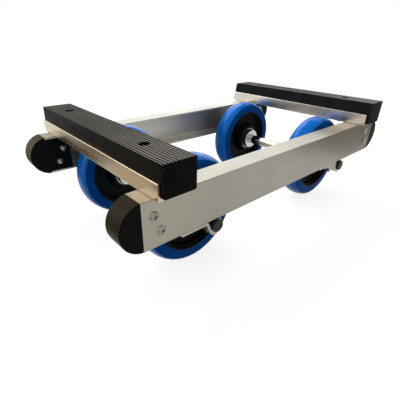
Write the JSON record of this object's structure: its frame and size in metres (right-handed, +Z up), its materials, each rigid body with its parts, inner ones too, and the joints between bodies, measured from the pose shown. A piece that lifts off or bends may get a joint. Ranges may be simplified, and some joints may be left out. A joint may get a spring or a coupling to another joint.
{
  "type": "piano dolly",
  "caption": "Low four-wheeled piano dolly with channel side rails, two ribbed rubber pads on raised cross members and rubber corner bumpers.",
  "frame": {"origin": "on the floor, under the middle of the dolly", "axes": "+X along the side rails, towards the far end in the picture; +Y across the dolly, towards the far rail in the picture; +Z up"},
  "size_m": [0.603, 0.338, 0.1911],
  "materials": {
    "rail_metal": "satin",
    "cross_metal": "satin",
    "pad_rubber": "moulded, faint sheen",
    "bumper_rubber": "moulded, faint sheen",
    "plated_steel": "zinc-plated",
    "dark_screw": "blackened",
    "axle_steel": "bright, zinc-plated",
    "plug_plastic": "matte black",
    "hook_steel": "satin",
    "bearing_steel": "ground",
    "washer_steel": "zinc-plated",
    "spring_steel": "phosphated",
    "tyre_blue": "satin elastic rubber",
    "rim_plastic": "satin moulded"
  },
  "bodies": {
    "frame": {"side_rail_near": "rail_metal", "side_rail_far": "rail_metal", "cross_member_front": "cross_metal", "cross_member_rear": "cross_metal", "pad_front": "pad_rubber", "pad_rear": "pad_rubber", "bumper_near_front": "bumper_rubber", "bumper_near_rear": "bumper_rubber", "bumper_far_front": "bumper_rubber", "bumper_far_rear": "bumper_rubber", "bumper_bolts": "plated_steel", "bumper_cap_nuts": "plated_steel", "cross_screws": "plated_steel", "cross_nuts": "plated_steel", "pad_screws": "dark_screw", "pad_nuts": "plated_steel", "axle_front": "axle_steel", "axle_rear": "axle_steel", "axle_plugs": "plug_plastic", "stop_pins": "spring_steel", "hook_near_front": "hook_steel", "hook_near_rear": "hook_steel", "hook_far_front": "hook_steel", "hook_far_rear": "hook_steel", "hook_screws": "plated_steel", "hook_nuts": "plated_steel", "bearing_inner_rings": "bearing_steel", "bearing_sleeves": "plated_steel", "axle_shims": "plated_steel", "axle_washers": "spring_steel", "retaining_rings": "washer_steel"},
    "wheel_near_front": {"tyre_near_front": "tyre_blue", "rim_near_front": "rim_plastic", "bearings_near_front": "bearing_steel"},
    "wheel_near_rear": {"tyre_near_rear": "tyre_blue", "rim_near_rear": "rim_plastic", "bearings_near_rear": "bearing_steel"},
    "wheel_far_front": {"tyre_far_front": "tyre_blue", "rim_far_front": "rim_plastic", "bearings_far_front": "bearing_steel"},
    "wheel_far_rear": {"tyre_far_rear": "tyre_blue", "rim_far_rear": "rim_plastic", "bearings_far_rear": "bearing_steel"}
  },
  "joints": [
    {"name": "spin_near_front", "type": "hinge", "parent": "frame", "child": "wheel_near_front", "pos_m": [-0.165, -0.0925, 0.08], "axis": [0, 1, 0], "continuous": true},
    {"name": "spin_near_rear", "type": "hinge", "parent": "frame", "child": "wheel_near_rear", "pos_m": [0.165, -0.0925, 0.08], "axis": [0, 1, 0], "continuous": true},
    {"name": "spin_far_front", "type": "hinge", "parent": "frame", "child": "wheel_far_front", "pos_m": [-0.165, 0.0925, 0.08], "axis": [0, 1, 0], "continuous": true},
    {"name": "spin_far_rear", "type": "hinge", "parent": "frame", "child": "wheel_far_rear", "pos_m": [0.165, 0.0925, 0.08], "axis": [0, 1, 0], "continuous": true}
  ]
}
